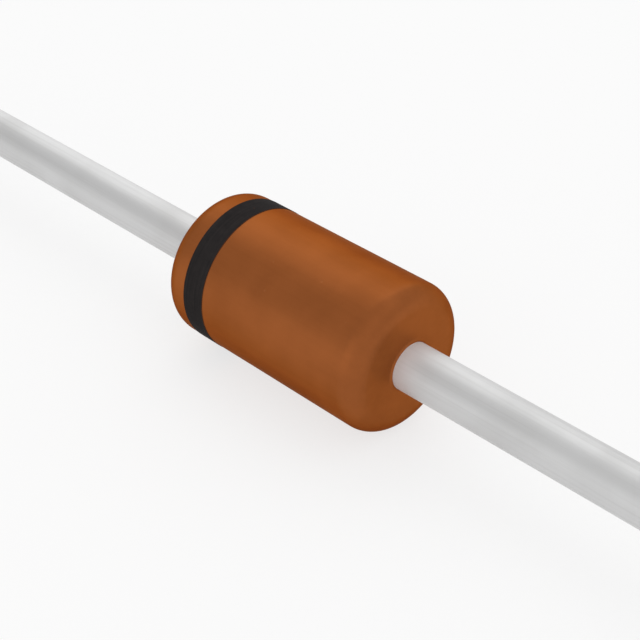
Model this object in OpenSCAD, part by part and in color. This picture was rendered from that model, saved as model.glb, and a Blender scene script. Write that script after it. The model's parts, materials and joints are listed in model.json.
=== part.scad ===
// Axial-lead glass diode, double-stud construction, in a DO-41 outline.
// A silicon chip with a silver contact bump is held in compression between two
// metal studs. A glass sleeve is fused over the studs and their necks, and a lead is
// welded to the end of each neck. A printed band marks the cathode end.
// The diode's axis lies along X: the cathode is at -X and the anode at +X.
// The origin is the middle of the body. All sizes are in millimetres.

/* [Glass sleeve] */
// Outside diameter of the sleeve
body_d = 2.60; // [2.00:0.01:2.70]
// Length of the sleeve over its two end faces
body_l = 4.45; // [4.10:0.01:5.20]
// Radius of the fire-polished edge at each end
edge_r = 0.35; // [0.10:0.01:0.50]
// Thickness of the glass that closes each end over the stud's shoulder
seal_l = 0.42; // [0.30:0.01:0.60]
// Height of the glass that creeps out along the lead
meniscus = 0.03; // [0.02:0.01:0.12]

/* [Cathode band] */
// Width of the band along the body
band_w = 0.46; // [0.30:0.01:0.80]
// Distance from the cathode end face to the band
band_inset = 0.55; // [0.52:0.01:0.90]
// Thickness of the printed ink
band_t = 0.010; // [0.005:0.005:0.050]

/* [Leads] */
// Diameter of the tinned lead wire
lead_d = 0.83; // [0.71:0.01:0.86]
// Length of each lead outside the sleeve
lead_l = 25.4; // [10:0.1:38]
// Break of the rim at the cut end of a lead
lead_rim = 0.05; // [0.02:0.01:0.15]

/* [Studs] */
// Diameter of a stud, which is also the bore that the glass is fused to
stud_d = 1.50; // [1.40:0.01:1.70]
// Break of the rim at each end of a stud
stud_rim = 0.06; // [0.02:0.01:0.08]
// Diameter of a stud's neck at its root, from which it tapers to the lead's size
neck_d = 1.10; // [0.95:0.01:1.20]

/* [Chip] */
// Side of the square silicon chip
chip_w = 0.88; // [0.70:0.01:0.95]
// Thickness of the silicon chip
chip_t = 0.24; // [0.15:0.01:0.35]
// Diameter of the silver bump on the chip's anode side
bump_d = 0.60; // [0.40:0.01:0.68]
// Height of the silver bump
bump_h = 0.06; // [0.03:0.01:0.10]

/* [Hidden] */
$fn = 96;

cathode = -1;
anode = 1;

glass_colour = "#A3592D";
ink_colour = "#2E2A2B";
tin_colour = "#C6C5C5";
stud_colour = "#8C4A33";
silicon_colour = "#4A4C57";
silver_colour = "#E4E2DC";

body_end = body_l / 2;
body_r = body_d / 2;
lead_r = lead_d / 2;
lead_end = body_end + lead_l;
stud_r = stud_d / 2;
neck_r = neck_d / 2;
shoulder = body_end - seal_l;
stack_l = chip_t + bump_h;
stud_face = stack_l / 2;
chip_back = -stud_face;
chip_front = chip_back + chip_t;
band_start = -body_end + band_inset;

// The centre of the meniscus arc stands this many meniscus heights off the corner that it fills.
wetting = 1.6;

// Turns a half section about the diode's axis. The section's X is the radius, and its Y runs along the axis.
module turned() {
    rotate([0, 90, 0])
        rotate_extrude()
            children();
}

// Puts a half section that is drawn for the anode side on the side asked for.
module on_side(side) {
    mirror([0, side == cathode ? 1 : 0])
        children();
}

// Puts a half section that is drawn for the anode side on both sides.
module on_both_sides() {
    for (side = [cathode, anode])
        on_side(side)
            children();
}

// Half section of a plain rod between two places along the axis.
module rod_section(r, from, to) {
    translate([0, from])
        square([r, to - from]);
}

// Half section of a rod whose far rim is rounded over.
module rounded_rod_section(r, from, to, round) {
    rod_section(r - round, from, to);
    rod_section(r, from, to - round);
    translate([r - round, to - round])
        circle(round);
}

// A stud is a turned slug with broken rims. From its shoulder a neck tapers through the glass
// to the lead's size, and the lead is welded to the neck's end.
module stud_section() {
    polygon([
        [0, stud_face], [stud_r - stud_rim, stud_face], [stud_r, stud_face + stud_rim],
        [stud_r, shoulder - stud_rim], [stud_r - stud_rim, shoulder],
        [neck_r, shoulder], [lead_r, body_end], [0, body_end]
    ]);
}

// A lead is a straight wire from the weld to a cut end with a broken rim.
module lead_section() {
    polygon([
        [0, body_end], [lead_r, body_end],
        [lead_r, lead_end - lead_rim], [lead_r - lead_rim, lead_end], [0, lead_end]
    ]);
}

// Glass that wets the lead just outside the end face: a corner filled to a hollow arc.
module meniscus_section() {
    reach = meniscus * wetting;
    translate([lead_r, body_end])
        difference() {
            polygon([[0, 0], [meniscus, 0], [0, meniscus]]);
            translate([reach, reach])
                circle(norm([reach, reach - meniscus]));
        }
}

// Outline of the glass, before the metal that it closes on is taken out of it.
module sleeve_outline_section() {
    rod_section(body_r - edge_r, -body_end, body_end);
    rod_section(body_r, edge_r - body_end, body_end - edge_r);
    on_both_sides() {
        translate([body_r - edge_r, body_end - edge_r])
            circle(edge_r);
        meniscus_section();
    }
}

// The glass has flowed onto the studs and their necks. Round the chip its bore stays clear.
module sleeve_bore_section() {
    rod_section(stud_r, stud_rim - shoulder, shoulder - stud_rim);
    on_both_sides() {
        stud_section();
        lead_section();
    }
}

module glass_sleeve() {
    color(glass_colour)
        turned()
            difference() {
                sleeve_outline_section();
                sleeve_bore_section();
            }
}

module cathode_band() {
    color(ink_colour)
        turned()
            translate([body_r, band_start])
                square([band_t, band_w]);
}

module lead(side) {
    color(tin_colour)
        turned()
            on_side(side)
                lead_section();
}

module stud(side) {
    color(stud_colour)
        turned()
            on_side(side)
                stud_section();
}

module silicon_chip() {
    color(silicon_colour)
        translate([chip_back, -chip_w / 2, -chip_w / 2])
            cube([chip_t, chip_w, chip_w]);
}

module silver_bump() {
    color(silver_colour)
        turned()
            rounded_rod_section(bump_d / 2, chip_front, stud_face, bump_h / 2);
}

glass_sleeve();
cathode_band();
lead(cathode);  // cathode_lead
lead(anode);  // anode_lead
stud(cathode);  // cathode_stud
stud(anode);  // anode_stud
silicon_chip();
silver_bump();
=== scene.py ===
"""An axial-lead glass diode, dressed piece by piece over its solids.

The axis lies along X, with the banded cathode end at -X and +Z up. Lengths are in metres, and the patterns
of the finishes are laid out by their features to a millimetre.
"""

import json
import logging
import math
from abc import ABC, abstractmethod
from collections.abc import Callable, Mapping
from dataclasses import dataclass, field, replace
from enum import Enum

import bmesh
import bpy
from mathutils import Matrix, Vector

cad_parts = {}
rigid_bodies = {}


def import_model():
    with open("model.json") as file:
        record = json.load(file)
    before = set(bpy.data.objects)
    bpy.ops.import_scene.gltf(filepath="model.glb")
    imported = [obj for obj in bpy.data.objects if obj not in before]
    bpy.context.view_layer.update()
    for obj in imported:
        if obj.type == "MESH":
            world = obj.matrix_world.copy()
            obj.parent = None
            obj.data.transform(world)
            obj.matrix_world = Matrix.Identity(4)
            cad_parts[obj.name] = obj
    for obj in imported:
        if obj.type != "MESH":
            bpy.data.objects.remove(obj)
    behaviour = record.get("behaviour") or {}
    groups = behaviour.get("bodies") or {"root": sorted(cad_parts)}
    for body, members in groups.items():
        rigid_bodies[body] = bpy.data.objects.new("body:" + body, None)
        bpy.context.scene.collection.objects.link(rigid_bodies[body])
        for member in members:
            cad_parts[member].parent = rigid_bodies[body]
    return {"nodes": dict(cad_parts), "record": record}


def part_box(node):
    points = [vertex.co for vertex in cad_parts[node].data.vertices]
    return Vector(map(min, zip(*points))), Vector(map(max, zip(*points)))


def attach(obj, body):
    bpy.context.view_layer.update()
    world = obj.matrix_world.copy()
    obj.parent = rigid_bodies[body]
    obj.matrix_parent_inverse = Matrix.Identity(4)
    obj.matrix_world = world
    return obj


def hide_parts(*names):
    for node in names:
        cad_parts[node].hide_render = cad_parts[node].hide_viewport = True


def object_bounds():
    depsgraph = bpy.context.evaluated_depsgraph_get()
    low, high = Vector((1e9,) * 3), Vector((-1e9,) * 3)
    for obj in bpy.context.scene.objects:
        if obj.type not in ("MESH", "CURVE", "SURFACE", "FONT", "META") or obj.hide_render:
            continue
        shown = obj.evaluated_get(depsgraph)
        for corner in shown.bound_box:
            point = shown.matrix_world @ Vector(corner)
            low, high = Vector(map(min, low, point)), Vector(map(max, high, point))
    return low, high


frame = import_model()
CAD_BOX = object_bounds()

LOG = logging.getLogger("diode")
MM = 1e-3
MICRON = 1e-6
BODY = "root"

# Sizes inside the glass that no box of the frame gives
SEAL = 0.42 * MM
NECK_RADIUS = 0.55 * MM
STUD_RIM = 0.06 * MM

Colour = tuple[float, float, float]
Window = tuple[float, float]
Key = str | int
WHITE: Colour = (1.0, 1.0, 1.0)


class End(Enum):
    """The two ends of the diode, by their side along X."""

    CATHODE = -1
    ANODE = 1

    @property
    def word(self) -> str:
        """The end's name as the nodes spell it."""
        return self.name.lower()


# Node trees


@dataclass(frozen=True)
class Field:
    """A value in a node tree. Arithmetic on it adds Math nodes."""

    graph: "Graph"
    node: bpy.types.Node
    key: Key = 0

    @property
    def socket(self) -> bpy.types.NodeSocket:
        """The output socket that gives the value."""
        return self.graph.socket(self.node.outputs, self.key)

    def output(self, key: Key) -> "Field":
        """Another output of the same node."""
        return Field(self.graph, self.node, key)

    def math(self, operation: str, *others: "Field | float") -> "Field":
        """A Math node on this value and any others."""
        return self.graph.math(operation, self, *others)

    def __add__(self, other: "Field | float") -> "Field":
        """Sum."""
        return self.math("ADD", other)

    def __radd__(self, other: float) -> "Field":
        """Sum with a number first."""
        return self.graph.math("ADD", other, self)

    def __sub__(self, other: "Field | float") -> "Field":
        """Difference."""
        return self.math("SUBTRACT", other)

    def __rsub__(self, other: float) -> "Field":
        """Difference from a number."""
        return self.graph.math("SUBTRACT", other, self)

    def __mul__(self, other: "Field | float") -> "Field":
        """Product."""
        return self.math("MULTIPLY", other)

    def __rmul__(self, other: float) -> "Field":
        """Product with a number first."""
        return self.graph.math("MULTIPLY", other, self)

    def __truediv__(self, other: "Field | float") -> "Field":
        """Quotient."""
        return self.math("DIVIDE", other)

    def __rtruediv__(self, other: float) -> "Field":
        """Quotient of a number."""
        return self.graph.math("DIVIDE", other, self)

    def __abs__(self) -> "Field":
        """Size without sign."""
        return self.math("ABSOLUTE")

    def __lt__(self, other: "Field | float") -> "Field":
        """1 where the value is the smaller, and 0 elsewhere."""
        return self.math("LESS_THAN", other)

    def __gt__(self, other: "Field | float") -> "Field":
        """1 where the value is the larger, and 0 elsewhere."""
        return self.math("GREATER_THAN", other)

    def ramp(self, low: float, high: float) -> "Field":
        """A smooth step from 0 at low to 1 at high. A low above high steps down."""
        limits = {"Value": self, "From Min": low, "From Max": high}
        return self.graph.add("ShaderNodeMapRange", {"interpolation_type": "SMOOTHSTEP"}, limits)

    def swing(self, reach: float) -> "Field":
        """A pattern from 0 to 1 turned into one from minus the reach to the reach."""
        return (self - 0.5) * (2 * reach)


@dataclass(frozen=True)
class Graph:
    """A node tree that is written from code."""

    tree: bpy.types.NodeTree

    @classmethod
    def cleared(cls, owner: bpy.types.Material | bpy.types.World) -> "Graph":
        """Empties the tree of a material or a world.

        Args:
            owner: What the tree belongs to.

        Returns:
            The empty tree.
        """
        owner.use_nodes = True
        owner.node_tree.nodes.clear()
        return cls(owner.node_tree)

    @staticmethod
    def socket(sockets: bpy.types.bpy_prop_collection, key: Key) -> bpy.types.NodeSocket:
        """Finds a socket.

        Args:
            sockets: A node's inputs or outputs.
            key: The socket's place, identifier or name.

        Returns:
            The socket, with identifiers tried before names.
        """
        if isinstance(key, int):
            return sockets[key]
        same = [s for s in sockets if s.identifier == key] or [s for s in sockets if s.name == key]
        return same[0]

    def feed(self, socket: bpy.types.NodeSocket, value: object) -> None:
        """Sets an input.

        Args:
            socket: The input socket.
            value: A field to link, or the value itself.
        """
        if isinstance(value, Field):
            self.tree.links.new(value.socket, socket)
        elif socket.type == "RGBA":
            socket.default_value = (*value[:3], 1.0)
        else:
            socket.default_value = value

    def add(
        self,
        kind: str,
        settings: Mapping[str, object] | None = None,
        inputs: Mapping[Key, object] | None = None,
        output: Key = 0,
    ) -> Field:
        """Adds a node.

        Args:
            kind: The node's type.
            settings: Its properties, which are set first.
            inputs: Values or fields for its sockets.
            output: The output that the caller wants.

        Returns:
            That output as a field.
        """
        node = self.tree.nodes.new(kind)
        for name, value in (settings or {}).items():
            setattr(node, name, value)
        for key, value in (inputs or {}).items():
            self.feed(self.socket(node.inputs, key), value)
        return Field(self, node, output)

    def math(self, operation: str, *values: Field | float) -> Field:
        """A Math node on the values given."""
        return self.add("ShaderNodeMath", {"operation": operation}, dict(enumerate(values)))

    def blend(self, share: Field, first: Field | Colour, second: Field | Colour) -> Field:
        """A colour that goes from the first to the second as the share goes from 0 to 1."""
        inputs = {"Factor_Float": share, "A_Color": first, "B_Color": second}
        return self.add("ShaderNodeMix", {"data_type": "RGBA"}, inputs, "Result_Color")

    def stretch(self, vector: Field, scale: tuple[float, float, float]) -> Field:
        """A vector times a scale for each axis."""
        return self.add("ShaderNodeVectorMath", {"operation": "MULTIPLY"}, {0: vector, 1: scale})


# Objects and turned pieces


def add_object(name: str, data: bpy.types.ID) -> bpy.types.Object:
    """Adds an object to the scene.

    Args:
        name: The object's name.
        data: Its mesh, lamp or camera.

    Returns:
        The object, at the origin.
    """
    made = bpy.data.objects.new(name, data)
    bpy.context.collection.objects.link(made)
    return made


def add_shape(name: str, shape: bmesh.types.BMesh, finish: bpy.types.Material) -> bpy.types.Object:
    """Adds a shape made in code to the scene.

    Args:
        name: The object's name.
        shape: Its faces, which are freed.
        finish: Its material.

    Returns:
        The object, with a mesh of the same name.
    """
    mesh = bpy.data.meshes.new(name)
    shape.to_mesh(mesh)
    shape.free()
    mesh.materials.append(finish)
    return add_object(name, mesh)


@dataclass(frozen=True)
class Wave:
    """How far a surface strays from its drawn form: inwards by its height, along the axis by its wander."""

    height: float = 0.0
    length: float = 1 * MM
    wander: float = 0.0
    seed: float = 0.0


@dataclass
class Section:
    """A half section: places along the axis, each with its radius."""

    stations: list[tuple[float, float]] = field(default_factory=list)

    def to(self, x: float, radius: float, pitch: float | None = None) -> "Section":
        """Runs straight to a place.

        Args:
            x: Place along the axis.
            radius: Radius there.
            pitch: Longest step on the way, or none for a single step.

        Returns:
            The section itself.
        """
        if self.stations and pitch:
            x_from, r_from = self.stations[-1]
            steps = math.ceil(math.hypot(x - x_from, radius - r_from) / pitch)
            for step in range(1, steps):
                share = step / steps
                self.stations.append((x_from + (x - x_from) * share, r_from + (radius - r_from) * share))
        self.stations.append((x, radius))
        return self

    def arc(self, x: float, radius: float, size: float, start: float, end: float, steps: int) -> "Section":
        """Follows an arc.

        Args:
            x: Place of the arc's centre along the axis.
            radius: The centre's distance from the axis.
            size: The arc's own radius.
            start: Angle of its first point, from +X towards larger radii.
            end: Angle of its last point.
            steps: Number of steps between them.

        Returns:
            The section itself.
        """
        for step in range(steps + 1):
            angle = start + (end - start) * step / steps
            self.to(x + size * math.cos(angle), radius + size * math.sin(angle))
        return self

    def mirrored(self) -> "Section":
        """The same section on the other side of the middle, from its last station to its first."""
        return Section([(-x, radius) for x, radius in reversed(self.stations)])

    def at(self, end: End) -> "Section":
        """A section drawn for the anode end, at the end asked for."""
        return self if end is End.ANODE else self.mirrored()

    def then(self, other: "Section") -> "Section":
        """Goes on along another section."""
        self.stations += other.stations
        return self

    def closed(self) -> "Section":
        """Comes back to the first station."""
        return self.to(*self.stations[0])


class Lathe:
    """A Geometry Nodes tree that turns a half section about the X axis."""

    GIVE = "give"
    DRIFT_OFFSET = 50.0
    WELD = 0.1 * MICRON
    CREASE = math.radians(30)
    INPUTS = {
        "Section": "NodeSocketGeometry",
        "Segments": "NodeSocketInt",
        "Wave Height": "NodeSocketFloat",
        "Wave Length": "NodeSocketFloat",
        "Wander": "NodeSocketFloat",
        "Seed": "NodeSocketFloat",
        "Finish": "NodeSocketMaterial",
    }

    def __init__(self) -> None:
        """Writes the tree."""
        self.tree = bpy.data.node_groups.new("lathe", "GeometryNodeTree")
        sockets = self.tree.interface
        self.ids = {
            name: sockets.new_socket(name, in_out="INPUT", socket_type=kind).identifier
            for name, kind in self.INPUTS.items()
        }
        sockets.new_socket("Piece", in_out="OUTPUT", socket_type="NodeSocketGeometry")
        self.write(Graph(self.tree))

    def write(self, graph: Graph) -> None:
        """Fills the tree.

        Args:
            graph: The tree, empty but for its interface.
        """
        given = graph.add("NodeGroupInput")
        section, segments = given.output("Section"), given.output("Segments")
        count = graph.add("GeometryNodeAttributeDomainSize", {"component": "MESH"}, {"Geometry": section})
        columns = segments + 1
        sheet = graph.add("GeometryNodeMeshGrid", inputs={"Vertices X": count, "Vertices Y": columns})

        index = graph.add("GeometryNodeInputIndex")
        row = (index / columns).math("FLOOR")
        angle = (index - row * columns) / segments * math.tau
        station = self.sample(graph, section, "FLOAT_VECTOR", graph.add("GeometryNodeInputPosition"), row)
        share = graph.add("GeometryNodeInputNamedAttribute", {"data_type": "FLOAT"}, {"Name": self.GIVE})
        give = self.sample(graph, section, "FLOAT", share, row)

        place = graph.add("ShaderNodeSeparateXYZ", inputs={"Vector": station})
        x, radius = place.output("X"), place.output("Y")
        drawn = self.around(graph, x, radius, angle)
        sway = self.noise(graph, given, drawn, 0.0)
        drift = self.noise(graph, given, drawn, self.DRIFT_OFFSET)
        radius = radius - sway * give * given.output("Wave Height")
        x = x + drift.swing(1.0) * give * given.output("Wander")

        strayed = self.around(graph, x, radius, angle)
        shaped = graph.add("GeometryNodeSetPosition", inputs={"Geometry": sheet, "Position": strayed})
        welded = graph.add(
            "GeometryNodeMergeByDistance", inputs={"Geometry": shaped, "Distance": self.WELD}
        )
        smooth = graph.add(
            "GeometryNodeSetShadeSmooth", {"domain": "FACE"}, {"Geometry": welded, "Shade Smooth": True}
        )
        corner = graph.add("GeometryNodeInputMeshEdgeAngle") > self.CREASE
        creased = graph.add(
            "GeometryNodeSetShadeSmooth",
            {"domain": "EDGE"},
            {"Geometry": smooth, "Selection": corner, "Shade Smooth": False},
        )
        real = graph.add("GeometryNodeRealizeInstances", inputs={"Geometry": creased})
        finish = given.output("Finish")
        dressed = graph.add("GeometryNodeSetMaterial", inputs={"Geometry": real, "Material": finish})
        graph.add("NodeGroupOutput", inputs={"Piece": dressed})

    @staticmethod
    def sample(graph: Graph, section: Field, kind: str, value: Field, row: Field) -> Field:
        """A value of the section at the station of each row."""
        inputs = {"Geometry": section, "Value": value, "Index": row}
        return graph.add("GeometryNodeSampleIndex", {"data_type": kind, "domain": "POINT"}, inputs)

    @staticmethod
    def around(graph: Graph, x: Field, radius: Field, angle: Field) -> Field:
        """The point at a radius and an angle about the X axis."""
        inputs = {"X": x, "Y": radius * angle.math("COSINE"), "Z": radius * angle.math("SINE")}
        return graph.add("ShaderNodeCombineXYZ", inputs=inputs)

    @staticmethod
    def noise(graph: Graph, given: Field, place: Field, offset: float) -> Field:
        """Noise from 0 to 1 over the piece, at the wave's length.

        Args:
            graph: The tree.
            given: Any output of the tree's own inputs.
            place: Where the noise is read.
            offset: What sets this noise apart from others of the same seed.

        Returns:
            The noise.
        """
        inputs = {
            "Vector": place,
            "W": given.output("Seed") + offset,
            "Scale": 1 / given.output("Wave Length"),
            "Detail": 1.0,
        }
        return graph.add("ShaderNodeTexNoise", {"noise_dimensions": "4D"}, inputs)

    def turn(
        self,
        name: str,
        section: Section,
        finish: bpy.types.Material,
        segments: int,
        wave: Wave = Wave(),
        give: Callable[[float, float], float] = lambda x, radius: 1.0,
    ) -> bpy.types.Object:
        """Turns a section into a piece.

        Args:
            name: The piece's name.
            section: Its half section.
            finish: Its material.
            segments: Number of steps round the axis.
            wave: How far its surface strays.
            give: Share of the wave that a station takes, from its place and radius.

        Returns:
            The piece, a plain mesh with its normals outwards.
        """
        outline = bpy.data.meshes.new(name)
        pairs = [(i, i + 1) for i in range(len(section.stations) - 1)]
        outline.from_pydata([(x, radius, 0.0) for x, radius in section.stations], pairs, [])
        shares = outline.attributes.new(self.GIVE, "FLOAT", "POINT")
        shares.data.foreach_set("value", [give(x, radius) for x, radius in section.stations])
        piece = add_object(name, outline)

        modifier = piece.modifiers.new("lathe", "NODES")
        modifier.node_group = self.tree
        values = {
            "Segments": segments,
            "Wave Height": wave.height,
            "Wave Length": wave.length,
            "Wander": wave.wander,
            "Seed": wave.seed,
            "Finish": finish,
        }
        for key, value in values.items():
            modifier[self.ids[key]] = value
        return settle_mesh(piece)


def settle_mesh(piece: bpy.types.Object) -> bpy.types.Object:
    """Turns a piece's modifiers into a plain mesh with its normals outwards.

    Args:
        piece: The piece with its modifiers.

    Returns:
        The same piece, with no modifier left.
    """
    graph = bpy.context.evaluated_depsgraph_get()
    mesh = bpy.data.meshes.new_from_object(piece.evaluated_get(graph), depsgraph=graph)
    drawn = piece.data
    piece.modifiers.clear()
    piece.data = mesh
    mesh.name = piece.name
    bpy.data.meshes.remove(drawn)
    shape = bmesh.new()
    shape.from_mesh(mesh)
    bmesh.ops.recalc_face_normals(shape, faces=shape.faces)
    if shape.calc_volume(signed=True) < 0:
        bmesh.ops.reverse_faces(shape, faces=shape.faces)
    shape.to_mesh(mesh)
    shape.free()
    return piece


# Finishes


@dataclass(frozen=True)
class Noise:
    """A noise pattern: its features to a millimetre along each axis, its finer layers and its seed."""

    per_mm: tuple[float, float, float]
    detail: float
    seed: float

    @classmethod
    def even(cls, per_mm: float, detail: float, seed: float) -> "Noise":
        """A noise that is the same in every direction."""
        return cls((per_mm, per_mm, per_mm), detail, seed)


@dataclass(frozen=True)
class Specks:
    """Round specks: cells to a millimetre, a speck's radius in its cell and the share of cells with one."""

    per_mm: float
    size: float
    share: float


class Skin:
    """Places on a piece's surface, and patterns laid on it."""

    def __init__(self, graph: Graph) -> None:
        """Reads the places.

        Args:
            graph: The material's tree.
        """
        self.graph = graph
        metres = graph.add("ShaderNodeTexCoord", output="Object")
        self.millimetres = graph.stretch(metres, (1 / MM, 1 / MM, 1 / MM))
        split = graph.add("ShaderNodeSeparateXYZ", inputs={"Vector": metres})
        self.x, self.y, self.z = split.output("X"), split.output("Y"), split.output("Z")

    @property
    def radius(self) -> Field:
        """Distance from the diode's axis."""
        return (self.y * self.y + self.z * self.z).math("SQRT")

    @property
    def bearing(self) -> Field:
        """Angle about the axis from straight down, from minus pi to pi."""
        return self.y.math("ARCTAN2", 0 - self.z)

    def noise(self, pattern: Noise) -> Field:
        """Lays a noise.

        Args:
            pattern: Its scale, layers and seed.

        Returns:
            The noise, from 0 to 1.
        """
        place = self.graph.stretch(self.millimetres, pattern.per_mm)
        inputs = {"Vector": place, "W": pattern.seed, "Scale": 1.0, "Detail": pattern.detail}
        return self.graph.add("ShaderNodeTexNoise", {"noise_dimensions": "4D"}, inputs)

    def specks(self, pattern: Specks) -> Field:
        """Lays round specks.

        Args:
            pattern: Their scale, size and share.

        Returns:
            1 in the middle of a speck, and 0 away from it.
        """
        places = {"Vector": self.millimetres, "Scale": pattern.per_mm}
        cells = self.graph.add("ShaderNodeTexVoronoi", inputs=places)
        draw = self.graph.add("ShaderNodeSeparateColor", inputs={"Color": cells.output("Color")})
        return cells.ramp(pattern.size, pattern.size / 2) * (draw < pattern.share)

    def relief(self, height: Field, depth: float) -> Field:
        """Normals of a relief.

        Args:
            height: Height from 0 to 1.
            depth: What a height of 1 stands for.

        Returns:
            The normals.
        """
        inputs = {"Strength": 1.0, "Distance": depth, "Height": height}
        return self.graph.add("ShaderNodeBump", inputs=inputs)


@dataclass(frozen=True)
class Finish(ABC):
    """A surface finish, which becomes one material.

    Its index of refraction and its gloss hold all over. Its patterns vary its roughness about the value
    given, and raise a relief of the depth given.
    """

    slot: str
    name: str
    index: float = 1.5
    gloss: float = 0.5
    roughness: float = 0.4
    relief_depth: float = 2.0 * MICRON

    def constants(self) -> dict[str, object]:
        """Values that are the same all over the surface, by socket."""
        return {"IOR": self.index, "Specular IOR Level": self.gloss}

    @abstractmethod
    def surface(self, skin: Skin) -> dict[str, Field]:
        """What changes over the surface, by socket."""

    def material(self) -> bpy.types.Material:
        """Writes the material.

        Returns:
            The material, with one shader.
        """
        made = bpy.data.materials.new(self.name)
        graph = Graph.cleared(made)
        inputs = self.constants() | self.surface(Skin(graph))
        shader = graph.add("ShaderNodeBsdfPrincipled", inputs=inputs)
        graph.add("ShaderNodeOutputMaterial", inputs={"Surface": shader})
        return made


@dataclass(frozen=True)
class FusedGlass(Finish):
    """Satin brown glass, drawn as tube and fused, with the lustre of oxide under it."""

    slot: str = "glass"
    name: str = "fused_brown_glass"
    gloss: float = 0.0
    shine: float = 0.60
    roughness: float = 0.40
    deep: Colour = (0.300, 0.0910, 0.0262)
    warm: Colour = (0.366, 0.1125, 0.0328)
    seed_tone: Colour = (0.38, 0.130, 0.045)
    rim_tint: Colour = (0.40, 0.30, 0.25)
    contrast: Window = (0.3, 0.7)
    clouds: Noise = Noise.even(1.1, detail=3.0, seed=1.0)
    grain: Noise = Noise.even(26.0, detail=2.0, seed=2.0)
    draw_lines: Noise = Noise((0.15, 9.0, 9.0), detail=2.0, seed=3.0)
    seeds: Specks = Specks(per_mm=6.0, size=0.15, share=0.06)

    def constants(self) -> dict[str, object]:
        """The gloss of the glass, with rims no paler than its face."""
        return super().constants() | {"Specular Tint": self.rim_tint}

    def surface(self, skin: Skin) -> dict[str, Field]:
        """Cloudy glass with draw lines, a fine grain and a few seeds.

        Args:
            skin: Places and patterns on the piece.

        Returns:
            The fields, by socket.
        """
        clouds, grain = skin.noise(self.clouds), skin.noise(self.grain)
        draw_lines, seeds = skin.noise(self.draw_lines), skin.specks(self.seeds)
        tone = clouds * 0.7 + draw_lines * 0.2 + grain * 0.1
        glass = skin.graph.blend(tone.ramp(*self.contrast), self.deep, self.warm)
        height = grain * 0.5 + draw_lines * 0.5 - seeds
        return {
            "Base Color": skin.graph.blend(seeds * 0.5, glass, self.seed_tone),
            "Metallic": self.shine + clouds.swing(0.05),
            "Roughness": self.roughness + clouds.swing(0.06) + grain.swing(0.05) - seeds * 0.1,
            "Normal": skin.relief(height, self.relief_depth),
        }


@dataclass(frozen=True)
class PrintedInk(Finish):
    """Charcoal ink that a roller laid round the glass, with its lap underneath."""

    slot: str = "ink"
    name: str = "printed_charcoal_ink"
    gloss: float = 0.003
    roughness: float = 0.52
    band_start: float = 0.0
    band_end: float = 0.0
    thin_edge: float = 16 * MICRON
    ragged_edge: float = 30 * MICRON
    lap_angles: Window = (0.05, 0.03)
    thick: Colour = (0.0225, 0.0203, 0.0205)
    thin: Colour = (0.0320, 0.0280, 0.0275)
    bare: Colour = (0.16, 0.055, 0.021)
    contrast: Window = (0.35, 0.65)
    streaks: Noise = Noise((34.0, 0.9, 0.9), detail=3.0, seed=4.0)
    mottle: Noise = Noise.even(7.0, detail=3.0, seed=5.0)
    grain: Noise = Noise.even(48.0, detail=2.0, seed=6.0)
    pinholes: Specks = Specks(per_mm=15.0, size=0.17, share=0.03)

    def surface(self, skin: Skin) -> dict[str, Field]:
        """Roller streaks, pinholes, edges that run thin, and a thicker lap.

        Args:
            skin: Places and patterns on the piece.

        Returns:
            The fields, by socket.
        """
        streaks, mottle = skin.noise(self.streaks), skin.noise(self.mottle)
        grain, pinholes = skin.noise(self.grain), skin.specks(self.pinholes)
        middle = (self.band_start + self.band_end) / 2
        to_edge = (self.band_end - self.band_start) / 2 - abs(skin.x - middle)
        frayed = (to_edge - (mottle - 0.4) * self.ragged_edge).ramp(self.thin_edge, 0.0)
        lap = abs(skin.bearing).ramp(*self.lap_angles)
        tone = streaks * 0.6 + mottle * 0.4
        ink = skin.graph.blend(tone.ramp(*self.contrast), self.thick, self.thin)
        lapped = skin.graph.blend(lap * 0.7, ink, self.thick)
        height = grain * 0.4 + streaks * 0.4 + lap - pinholes - frayed * 0.6
        return {
            "Base Color": skin.graph.blend(frayed * 0.35 + pinholes * 0.6, lapped, self.bare),
            "Roughness": self.roughness + mottle.swing(0.1) + grain.swing(0.07) - lap * 0.08,
            "Normal": skin.relief(height, self.relief_depth),
        }


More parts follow.
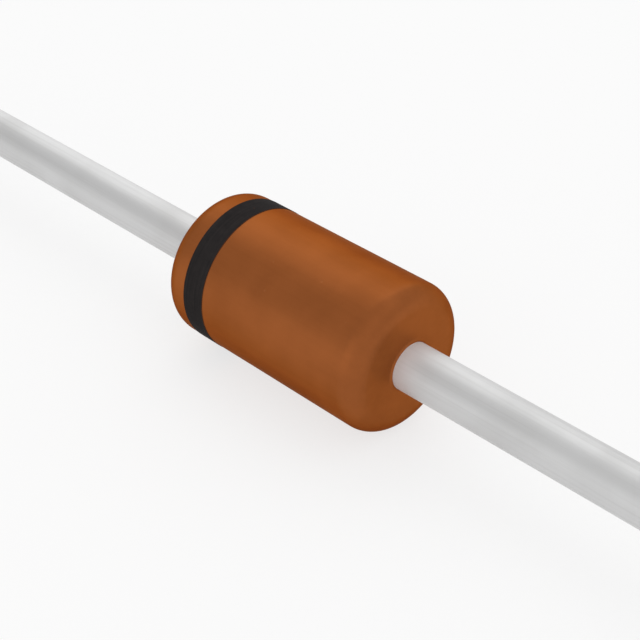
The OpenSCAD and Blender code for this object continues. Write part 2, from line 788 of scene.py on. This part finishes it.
@dataclass(frozen=True)
class TinnedWire(Finish):
    """Matte tin over drawn copper wire, sheared at its free end."""

    slot: str = "tinned_wire"
    name: str = "matte_tinned_wire"
    gloss: float = 0.1
    shine: float = 0.42
    roughness: float = 0.42
    relief_depth: float = 1.6 * MICRON
    glass_end: float = 0.0
    cut: float = 0.0
    wire_radius: float = 0.0
    coat: float = 50 * MICRON
    coat_blur: float = 10 * MICRON
    cut_depth: Window = (6 * MICRON, 2 * MICRON)
    # Reach and colour of the painted light: paler tin by the glass that offsets the shade of the glass end
    painted_light_reach: float = 0.65 * MM
    painted_light_tin: Colour = (0.90, 0.90, 0.91)
    bright: Colour = (0.675, 0.675, 0.675)
    dull: Colour = (0.600, 0.598, 0.594)
    copper: Colour = (0.60, 0.235, 0.12)
    patch_contrast: Window = (0.42, 0.68)
    line_contrast: Window = (0.45, 0.70)
    lines: Noise = Noise((0.25, 22.0, 22.0), detail=3.0, seed=7.0)
    patches: Noise = Noise.even(0.8, detail=4.0, seed=8.0)
    crystals: Noise = Noise.even(32.0, detail=2.0, seed=9.0)
    shear: Noise = Noise((0.0, 3.0, 26.0), detail=2.0, seed=10.0)
    dimples: Specks = Specks(per_mm=9.0, size=0.22, share=0.06)

    def surface(self, skin: Skin) -> dict[str, Field]:
        """Drawing lines, dull patches and dimples in the tin, and the copper that the cut laid bare.

        By the glass the tin is painted paler and less metallic. This painted light offsets the shade and
        the brown reflection that the glass end throws on it.

        Args:
            skin: Places and patterns on the piece.

        Returns:
            The fields, by socket.
        """
        lines, patches = skin.noise(self.lines), skin.noise(self.patches)
        crystals, shear = skin.noise(self.crystals), skin.noise(self.shear)
        dimples = skin.specks(self.dimples)
        along = abs(skin.x)
        at_cut = along.ramp(*(self.cut - depth for depth in self.cut_depth))
        # Painted light: the tin turns paler and less metallic towards the glass, offsetting the glass end's
        # shade and reflection
        painted_light_by_glass = along.ramp(self.glass_end + self.painted_light_reach, self.glass_end)
        core_radius = self.wire_radius - self.coat
        core = skin.radius.ramp(core_radius + self.coat_blur, core_radius - self.coat_blur)
        worn = patches.ramp(*self.patch_contrast) * 0.5 + lines.ramp(*self.line_contrast) * 0.5
        rubbed = skin.graph.blend(worn, self.bright, self.dull)
        tin = skin.graph.blend(painted_light_by_glass * (1 - worn * 0.3), rubbed, self.painted_light_tin)
        bared = at_cut * core * (shear * 0.4 + 0.6)
        height = lines * 0.5 + crystals * 0.3 - dimples * 0.5 + at_cut * shear
        return {
            "Base Color": skin.graph.blend(bared, tin, self.copper),
            "Metallic": self.shine + (1 - worn) * 0.1 + at_cut * 0.25 - dimples * 0.1 - painted_light_by_glass * 0.2,
            "Roughness": self.roughness + worn * 0.08 + crystals.swing(0.05) + at_cut * 0.1,
            "Normal": skin.relief(height, self.relief_depth),
        }


@dataclass(frozen=True)
class OxidisedStud(Finish):
    """Copper-clad seal metal under the red oxide that glass bonds to."""

    slot: str = "stud_metal"
    name: str = "oxidised_stud_copper"
    shine: float = 0.7
    roughness: float = 0.38
    relief_depth: float = 1.5 * MICRON
    red: Colour = (0.30, 0.075, 0.032)
    brown: Colour = (0.21, 0.058, 0.03)
    contrast: Window = (0.35, 0.65)
    turning: Noise = Noise((24.0, 1.2, 1.2), detail=2.0, seed=11.0)
    mottle: Noise = Noise.even(5.0, detail=4.0, seed=12.0)

    def surface(self, skin: Skin) -> dict[str, Field]:
        """Turning marks and a mottled oxide.

        Args:
            skin: Places and patterns on the piece.

        Returns:
            The fields, by socket.
        """
        turning, mottle = skin.noise(self.turning), skin.noise(self.mottle)
        oxide = (mottle * 0.7 + turning * 0.3).ramp(*self.contrast)
        return {
            "Base Color": skin.graph.blend(oxide, self.red, self.brown),
            "Metallic": self.shine - oxide * 0.4,
            "Roughness": self.roughness + oxide * 0.22,
            "Normal": skin.relief(turning * 0.6 + mottle * 0.4, self.relief_depth),
        }


@dataclass(frozen=True)
class SawnSilicon(Finish):
    """Dark grey silicon of a high index, ground on its faces and sawn on its sides."""

    slot: str = "silicon"
    name: str = "sawn_grey_silicon"
    index: float = 2.6
    roughness: float = 0.3
    relief_depth: float = 1.0 * MICRON
    ground: Colour = (0.085, 0.09, 0.112)
    sawn: Colour = (0.05, 0.053, 0.066)
    contrast: Window = (0.35, 0.65)
    saw: Noise = Noise((3.0, 44.0, 44.0), detail=2.0, seed=13.0)
    grain: Noise = Noise.even(60.0, detail=2.0, seed=14.0)

    def surface(self, skin: Skin) -> dict[str, Field]:
        """Saw marks across the thickness and a fine grinding grain.

        Args:
            skin: Places and patterns on the piece.

        Returns:
            The fields, by socket.
        """
        saw, grain = skin.noise(self.saw), skin.noise(self.grain)
        marks = (saw * 0.6 + grain * 0.4).ramp(*self.contrast)
        return {
            "Base Color": skin.graph.blend(marks, self.ground, self.sawn),
            "Roughness": self.roughness + marks * 0.25,
            "Normal": skin.relief(saw * 0.7 + grain * 0.3, self.relief_depth),
        }


@dataclass(frozen=True)
class PlatedSilver(Finish):
    """Silver plated up into a small contact bump."""

    slot: str = "silver"
    name: str = "plated_matte_silver"
    shine: float = 1.0
    roughness: float = 0.34
    bright: Colour = (0.80, 0.78, 0.73)
    tarnished: Colour = (0.62, 0.57, 0.48)
    contrast: Window = (0.45, 0.70)
    tarnish: Noise = Noise.even(6.0, detail=3.0, seed=15.0)
    nodules: Specks = Specks(per_mm=34.0, size=0.6, share=0.8)

    def surface(self, skin: Skin) -> dict[str, Field]:
        """Plating nodules and a little tarnish.

        Args:
            skin: Places and patterns on the piece.

        Returns:
            The fields, by socket.
        """
        tarnish = skin.noise(self.tarnish).ramp(*self.contrast)
        return {
            "Base Color": skin.graph.blend(tarnish, self.bright, self.tarnished),
            "Metallic": self.shine - tarnish * 0.2,
            "Roughness": self.roughness + tarnish * 0.2,
            "Normal": skin.relief(skin.specks(self.nodules), self.relief_depth),
        }


# Sub-assemblies


def span(node: str) -> tuple[float, float]:
    """Where a CAD node starts and ends along the axis."""
    low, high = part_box(node)
    return low.x, high.x


def widest(node: str) -> float:
    """Largest radius of a CAD node about the axis."""
    return max(math.hypot(v.co.y, v.co.z) for v in frame["nodes"][node].data.vertices)


def pin_radius(mount: str) -> float:
    """Radius of a pin that the record states."""
    stated = next(m for m in frame["record"]["mounts"] if m["name"] == mount)
    return stated["dims"]["r_mm"] * MM


def rise(value: float, low: float, high: float) -> float:
    """A straight climb from 0 at low to 1 at high, held at its ends."""
    return min(max((value - low) / (high - low), 0.0), 1.0)


@dataclass(frozen=True)
class Piece:
    """A finished piece, with the CAD node that it stands for and its finish."""

    model: bpy.types.Object
    node: str
    finish: Finish

    def hand_over(self) -> None:
        """Puts the piece in its node's place and reports it."""
        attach(self.model, BODY)
        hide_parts(self.node)
        faces = len(self.model.data.polygons)
        LOG.info("%s stands for %s in %s, %d faces", self.model.name, self.node, self.finish.name, faces)


class Assembly(ABC):
    """A sub-assembly of the diode."""

    @abstractmethod
    def build(self, lathe: Lathe) -> list[Piece]:
        """Makes and dresses the pieces, with the tree that turns their sections."""


@dataclass
class Lead(Assembly):
    """A tinned wire, welded to its stud's neck where it leaves the glass, and cut at its free end."""

    end: End
    wire_radius: float
    glass_end: float
    cut: float
    rim: float = 0.05 * MM
    segments: int = 128
    pitch: float = 0.14 * MM
    face_rings: int = 4
    wave: Wave = Wave(height=5 * MICRON, length=2.2 * MM, seed=3.0)
    fade: float = 1.0 * MM

    def section(self) -> Section:
        """Draws from the weld, along the wire, to the cut.

        Returns:
            The half section, on this lead's side.
        """
        face_pitch = self.wire_radius / self.face_rings
        drawn = Section([(self.glass_end, 0.0)])
        drawn.to(self.glass_end, self.wire_radius, face_pitch)
        drawn.to(self.cut - self.rim, self.wire_radius, self.pitch)
        drawn.to(self.cut, self.wire_radius - self.rim)
        drawn.to(self.cut, 0.0, face_pitch)
        return drawn.at(self.end)

    def give(self, x: float, radius: float) -> float:
        """Full waves on the free wire, and none at the weld or in the middle of the cut."""
        along = rise(abs(x), self.glass_end, self.glass_end + self.fade)
        return along * rise(radius, 0.0, self.wire_radius / 2)

    def build(self, lathe: Lathe) -> list[Piece]:
        """Makes the lead.

        Args:
            lathe: The tree that turns the section.

        Returns:
            The finished piece.
        """
        finish = TinnedWire(
            name=f"matte_tinned_{self.end.word}_wire",
            glass_end=self.glass_end,
            cut=self.cut,
            wire_radius=self.wire_radius,
        )
        name = f"tinned_{self.end.word}_wire"
        wave = replace(self.wave, seed=self.wave.seed + self.end.value)
        wire = lathe.turn(name, self.section(), finish.material(), self.segments, wave, self.give)
        return [Piece(wire, f"{self.end.word}_lead", finish)]


@dataclass
class GlassBody(Assembly):
    """The fused glass sleeve, and the ink band printed round it."""

    radius: float
    glass_end: float
    wire_radius: float
    neck_radius: float
    stud_radius: float
    shoulder: float
    band_start: float
    band_end: float
    band_radius: float
    meniscus: float
    stud_rim: float
    edge: float = 0.35 * MM
    wetting: float = 1.6
    segments: int = 224
    pitch: float = 0.05 * MM
    meniscus_steps: int = 10
    edge_steps: int = 20
    wave: Wave = Wave(height=5 * MICRON, length=1.3 * MM, seed=11.0)
    wavy_radii: Window = (0.75, 0.95)
    band_wander: float = 5 * MICRON

    def end_outline(self) -> Section:
        """Draws the outside of the anode end: meniscus, end face and fire-polished edge.

        Returns:
            The open half section, from the lead outwards.
        """
        reach = self.meniscus * self.wetting
        hollow = math.hypot(reach, reach - self.meniscus)
        first = math.atan2(-reach, self.meniscus - reach)
        last = math.atan2(self.meniscus - reach, -reach)
        if last > first:
            last -= math.tau
        x, radius = self.glass_end + reach, self.wire_radius + reach
        flat = self.radius - self.edge
        drawn = Section()
        drawn.arc(x, radius, hollow, first, last, self.meniscus_steps)
        drawn.to(self.glass_end, flat, self.pitch)
        drawn.arc(self.glass_end - self.edge, flat, self.edge, 0.0, math.pi / 2, self.edge_steps)
        return drawn

    def end_bore(self) -> Section:
        """Draws the inside of the anode end: the seat of the stud and of its neck.

        Returns:
            The open half section, from the middle outwards.
        """
        drawn = Section([(self.shoulder - self.stud_rim, self.stud_radius)])
        drawn.to(self.shoulder, self.stud_radius - self.stud_rim)
        drawn.to(self.shoulder, self.neck_radius)
        drawn.to(self.glass_end, self.wire_radius)
        return drawn

    def section(self) -> Section:
        """Draws the whole sleeve, out over its two ends and back through its bore.

        Returns:
            The closed half section.
        """
        drawn = self.end_outline()
        far = drawn.mirrored()
        drawn.to(*far.stations[0], self.pitch)
        bore = self.end_bore()
        return drawn.then(far).then(bore.mirrored()).then(bore).closed()

    def give(self, x: float, radius: float) -> float:
        """Full waves on the outside, and none in the bore or at the leads."""
        return rise(radius, *(share * self.radius for share in self.wavy_radii))

    def band_section(self) -> Section:
        """Draws the band: a thin ring on the glass.

        Returns:
            The closed half section.
        """
        drawn = Section([(self.band_start, self.radius)])
        drawn.to(self.band_start, self.band_radius)
        drawn.to(self.band_end, self.band_radius, self.pitch / 2)
        drawn.to(self.band_end, self.radius)
        drawn.to(self.band_start, self.radius, self.pitch)
        return drawn

    def build(self, lathe: Lathe) -> list[Piece]:
        """Makes the sleeve and the band.

        Args:
            lathe: The tree that turns the sections.

        Returns:
            The finished pieces.
        """
        glass = FusedGlass()
        ink = PrintedInk(band_start=self.band_start, band_end=self.band_end)
        sleeve = lathe.turn(
            "fused_glass_body", self.section(), glass.material(), self.segments, self.wave, self.give
        )
        band_wave = replace(self.wave, wander=self.band_wander)
        band = lathe.turn("printed_ink_ring", self.band_section(), ink.material(), self.segments, band_wave)
        return [Piece(sleeve, "glass_sleeve", glass), Piece(band, "cathode_band", ink)]


@dataclass
class ChipStack(Assembly):
    """What the glass holds: two studs, the chip between them and its silver bump."""

    stud_radius: float
    neck_radius: float
    wire_radius: float
    stud_face: float
    shoulder: float
    glass_end: float
    chip_low: Vector
    chip_high: Vector
    bump_radius: float
    bump_start: float
    bump_end: float
    stud_rim: float
    chip_edge: float = 0.008 * MM
    segments: int = 96
    pitch: float = 0.08 * MM
    bump_steps: int = 8

    def stud(self, lathe: Lathe, end: End) -> Piece:
        """Makes a turned slug with broken rims and a tapered neck.

        Args:
            lathe: The tree that turns the section.
            end: The end that the slug seals.

        Returns:
            The finished piece.
        """
        finish = OxidisedStud(name=f"oxidised_{end.word}_copper")
        drawn = Section([(self.stud_face, 0.0)])
        drawn.to(self.stud_face, self.stud_radius - self.stud_rim, self.pitch)
        drawn.to(self.stud_face + self.stud_rim, self.stud_radius)
        drawn.to(self.shoulder - self.stud_rim, self.stud_radius, self.pitch)
        drawn.to(self.shoulder, self.stud_radius - self.stud_rim)
        drawn.to(self.shoulder, self.neck_radius, self.pitch)
        drawn.to(self.glass_end, self.wire_radius, self.pitch)
        drawn.to(self.glass_end, 0.0, self.pitch)
        slug = lathe.turn(f"seal_slug_{end.word}", drawn.at(end), finish.material(), self.segments)
        return Piece(slug, f"{end.word}_stud", finish)

    def chip(self) -> Piece:
        """Makes a sawn square of silicon with its edges just broken.

        Returns:
            The finished piece.
        """
        finish = SawnSilicon()
        shape = bmesh.new()
        middle = (self.chip_low + self.chip_high) / 2
        size = self.chip_high - self.chip_low
        place = Matrix.Translation(middle) @ Matrix.Diagonal((*size, 1.0))
        bmesh.ops.create_cube(shape, size=1.0, matrix=place)
        bmesh.ops.bevel(
            shape, geom=shape.edges[:], offset=self.chip_edge, segments=2, profile=0.5, affect="EDGES"
        )
        bmesh.ops.recalc_face_normals(shape, faces=shape.faces)
        return Piece(add_shape("sawn_chip", shape, finish.material()), "silicon_chip", finish)

    def bump(self, lathe: Lathe) -> Piece:
        """Makes a low button with a rounded far rim.

        Args:
            lathe: The tree that turns the section.

        Returns:
            The finished piece.
        """
        finish = PlatedSilver()
        rim = (self.bump_end - self.bump_start) / 2
        rim_start = self.bump_end - rim
        drawn = Section([(self.bump_start, 0.0)])
        drawn.to(self.bump_start, self.bump_radius, self.pitch)
        drawn.to(rim_start, self.bump_radius)
        drawn.arc(rim_start, self.bump_radius - rim, rim, math.pi / 2, 0.0, self.bump_steps)
        drawn.to(self.bump_end, 0.0, self.pitch)
        button = lathe.turn("contact_button", drawn, finish.material(), self.segments)
        return Piece(button, "silver_bump", finish)

    def build(self, lathe: Lathe) -> list[Piece]:
        """Makes the stack."""
        return [self.stud(lathe, End.CATHODE), self.chip(), self.bump(lathe), self.stud(lathe, End.ANODE)]


# Studio


def sight(azimuth: float, elevation: float) -> Vector:
    """Direction from the diode to a viewer or lamp, with azimuth 0 on the -Y side, in degrees."""
    turn, climb = math.radians(azimuth), math.radians(elevation)
    return Vector((math.sin(turn) * math.cos(climb), -math.cos(turn) * math.cos(climb), math.sin(climb)))


@dataclass(frozen=True)
class Lamp:
    """A broad soft lamp, far off, so that it lights the whole floor alike. Its angles are in degrees."""

    name: str
    azimuth: float
    elevation: float
    strength: float
    spread: float

    def hang(self) -> None:
        """Adds the lamp and reports it."""
        made = bpy.data.lights.new(self.name, "SUN")
        made.energy = self.strength
        made.angle = math.radians(self.spread)
        lamp = add_object(self.name, made)
        lamp.rotation_euler = sight(self.azimuth, self.elevation).to_track_quat("Z", "Y").to_euler()
        LOG.info("%s hung at %.0f degrees", self.name, self.elevation)


@dataclass
class Studio:
    """Camera, sky, floor and lamps. Angles are in degrees, and the camera's focal length in millimetres."""

    floor_level: float

    # Camera
    azimuth: float = 45.16
    elevation: float = 34.63
    distance: float = 24.569 * MM
    shift_right: float = 0.1716 * MM
    shift_up: float = -0.1898 * MM
    focal_length: float = 83.58
    clip: Window = (0.5 * MM, 200.0)

    # Sky, with the cosines at which its dark side starts and is full, and the sines at which its haze does
    sky_horizon: Colour = (0.98, 0.98, 0.98)
    sky_open: Colour = (0.70, 0.70, 0.70)
    sky_dark: Colour = (0.43, 0.43, 0.43)
    dark_azimuth: float = -58.0
    dark_elevation: float = 38.0
    dark_reach: Window = (0.3, 1.0)
    haze: Window = (0.0, 0.30)

    # Floor
    floor_reach: float = 40.0
    floor_sides: int = 64
    floor_colour: Colour = (0.98, 0.98, 0.98)
    floor_bounce: Colour = (0.88, 0.88, 0.88)
    floor_shade: float = 0.28

    lamps: tuple[Lamp, ...] = (
        Lamp("back_panel", azimuth=228.0, elevation=38.0, strength=0.68, spread=64.0),
        Lamp("top_panel", azimuth=10.0, elevation=76.0, strength=0.42, spread=110.0),
        Lamp("front_panel", azimuth=-12.0, elevation=10.0, strength=0.27, spread=50.0),
    )

    def place_camera(self) -> None:
        """Sets the camera at the photograph's viewing angle."""
        back = sight(self.azimuth, self.elevation)
        right = Vector((0.0, 0.0, 1.0)).cross(back).normalized()
        up = back.cross(right)
        lens = bpy.data.cameras.new("camera")
        lens.lens = self.focal_length
        lens.clip_start, lens.clip_end = self.clip
        camera = add_object("camera", lens)
        axes = Matrix((right, up, back)).transposed().to_4x4()
        place = right * self.shift_right + up * self.shift_up + back * self.distance
        camera.matrix_world = Matrix.Translation(place) @ axes
        bpy.context.scene.camera = camera

    def paint_sky(self) -> None:
        """Gives the world a pale horizon that deepens upwards, and most on its dark side."""
        world = bpy.data.worlds.new("studio")
        graph = Graph.cleared(world)
        direction = graph.add("ShaderNodeTexCoord", output="Generated")
        climb = graph.add("ShaderNodeSeparateXYZ", inputs={"Vector": direction}, output="Z")
        towards = {0: direction, 1: sight(self.dark_azimuth, self.dark_elevation)}
        facing = graph.add("ShaderNodeVectorMath", {"operation": "DOT_PRODUCT"}, towards, "Value")
        high = graph.blend(facing.ramp(*self.dark_reach), self.sky_open, self.sky_dark)
        colour = graph.blend(climb.ramp(*self.haze), self.sky_horizon, high)
        glow = graph.add("ShaderNodeBackground", inputs={"Color": colour, "Strength": 1.0})
        graph.add("ShaderNodeOutputWorld", inputs={"Surface": glow})
        bpy.context.scene.world = world

    def floor_material(self) -> bpy.types.Material:
        """Writes a white floor with a faint shadow, calmer in what it throws back on the diode.

        Returns:
            The material.
        """
        made = bpy.data.materials.new("pale_floor")
        graph = Graph.cleared(made)
        ray = graph.add("ShaderNodeLightPath", output="Is Camera Ray")
        glossy, through = ray.output("Is Glossy Ray"), ray.output("Is Transmission Ray")
        seen = ray.math("MAXIMUM", glossy).math("MAXIMUM", through)
        colour = graph.blend(seen, self.floor_bounce, self.floor_colour)
        matte = graph.add("ShaderNodeBsdfDiffuse", inputs={"Color": colour})
        white = graph.add("ShaderNodeEmission", inputs={"Color": WHITE, "Strength": 1.0})
        shaders = {"Fac": seen * (1 - self.floor_shade), "Shader": matte, "Shader_001": white}
        mixed = graph.add("ShaderNodeMixShader", inputs=shaders)
        graph.add("ShaderNodeOutputMaterial", inputs={"Surface": mixed})
        return made

    def lay_floor(self) -> None:
        """Lays the floor under the diode, out to the horizon."""
        shape = bmesh.new()
        level = Matrix.Translation((0.0, 0.0, self.floor_level))
        bmesh.ops.create_circle(
            shape, cap_ends=True, radius=self.floor_reach, segments=self.floor_sides, matrix=level
        )
        floor = add_shape("floor", shape, self.floor_material())

    def build(self) -> None:
        """Sets up the whole studio."""
        self.place_camera()
        self.paint_sky()
        self.lay_floor()
        for lamp in self.lamps:
            lamp.hang()
        bpy.context.scene.view_settings.view_transform = "Standard"


def assemblies() -> list[Assembly]:
    """Reads the sizes from the frame and lists the sub-assemblies.

    Returns:
        The sub-assemblies, in the order that they are built.
    """
    stud_face, glass_end = span("anode_stud")
    band_start, band_end = span("cathode_band")
    bump_start, bump_end = span("silver_bump")
    chip_low, chip_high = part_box("silicon_chip")
    wire = {"wire_radius": pin_radius("anode_lead"), "glass_end": glass_end}
    seat = {
        "stud_radius": widest("anode_stud"),
        "shoulder": glass_end - SEAL,
        "neck_radius": NECK_RADIUS,
        "stud_rim": STUD_RIM,
    }
    body = GlassBody(
        radius=widest("glass_sleeve"),
        band_start=band_start,
        band_end=band_end,
        band_radius=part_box("cathode_band")[1].y,
        meniscus=span("glass_sleeve")[1] - glass_end,
        **wire,
        **seat,
    )
    stack = ChipStack(
        stud_face=stud_face,
        chip_low=chip_low,
        chip_high=chip_high,
        bump_radius=widest("silver_bump"),
        bump_start=bump_start,
        bump_end=bump_end,
        **wire,
        **seat,
    )
    leads = [Lead(end, cut=span("anode_lead")[1], **wire) for end in End]
    return [body, *leads, stack]


def main() -> None:
    """Builds the studio and the sub-assemblies, and reports each piece."""
    logging.basicConfig(level=logging.INFO, format="%(name)s: %(message)s")
    Studio(floor_level=CAD_BOX[0].z).build()
    lathe = Lathe()
    for assembly in assemblies():
        for piece in assembly.build(lathe):
            piece.hand_over()


if __name__ == "__main__":
    main()
